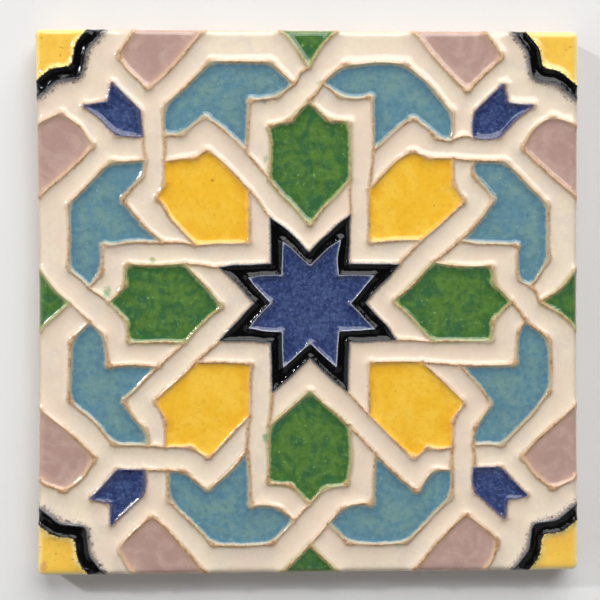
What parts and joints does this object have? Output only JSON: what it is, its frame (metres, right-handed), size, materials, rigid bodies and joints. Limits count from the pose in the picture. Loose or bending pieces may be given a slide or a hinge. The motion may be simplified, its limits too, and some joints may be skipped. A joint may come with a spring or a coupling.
{
  "type": "moorish star tile",
  "caption": "Square wall tile with an interlaced eight-pointed star in raised clay ridges and glossy coloured glazes, keyed back.",
  "frame": {"origin": "centre of the back of the tile, on the plane that the back's lands rest on", "axes": "+Z out of the glazed face, +X to the right and +Y up across the pattern as it is seen from the front"},
  "size_m": [0.152, 0.152, 0.01],
  "materials": {
    "tile": "gloss glazes in seven colours, the ridges between them thinly covered, back and sides bare clay"
  },
  "bodies": {
    "root": {"tile": "tile"}
  },
  "joints": []
}
